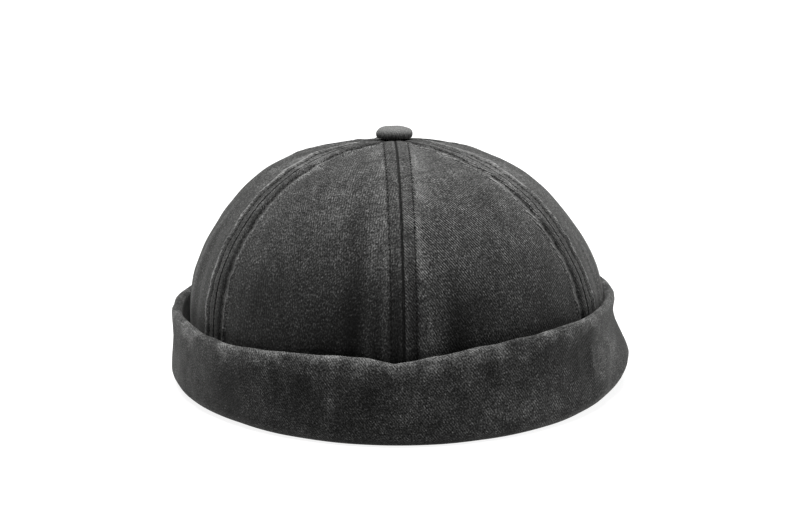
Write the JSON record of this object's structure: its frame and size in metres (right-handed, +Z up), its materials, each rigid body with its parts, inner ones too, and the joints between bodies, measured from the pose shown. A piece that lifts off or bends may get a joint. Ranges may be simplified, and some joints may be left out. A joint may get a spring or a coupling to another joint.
{
  "type": "brimless docker cap",
  "caption": "Brimless sewn cloth cap with a low domed crown of panels, a covered button on top and a turned-up cuff round the rim.",
  "frame": {"origin": "middle of the rim's outline, on the surface that the rim rests on", "axes": "+Z up through the crown, -Y to the front seam, +X to the wearer's left"},
  "size_m": [0.1881, 0.2025, 0.105],
  "materials": {
    "crown_cloth": "washed cotton twill, matt, faded along the seams",
    "cuff_cloth": "washed cotton twill, matt, faded along the folded edge",
    "button_cloth": "washed cotton twill drawn over a button, matt"
  },
  "bodies": {
    "root": {"front_left_panel": "crown_cloth", "side_left_panel": "crown_cloth", "back_left_panel": "crown_cloth", "back_right_panel": "crown_cloth", "side_right_panel": "crown_cloth", "front_right_panel": "crown_cloth", "turned_up_cuff": "cuff_cloth", "top_button": "button_cloth"}
  },
  "joints": []
}
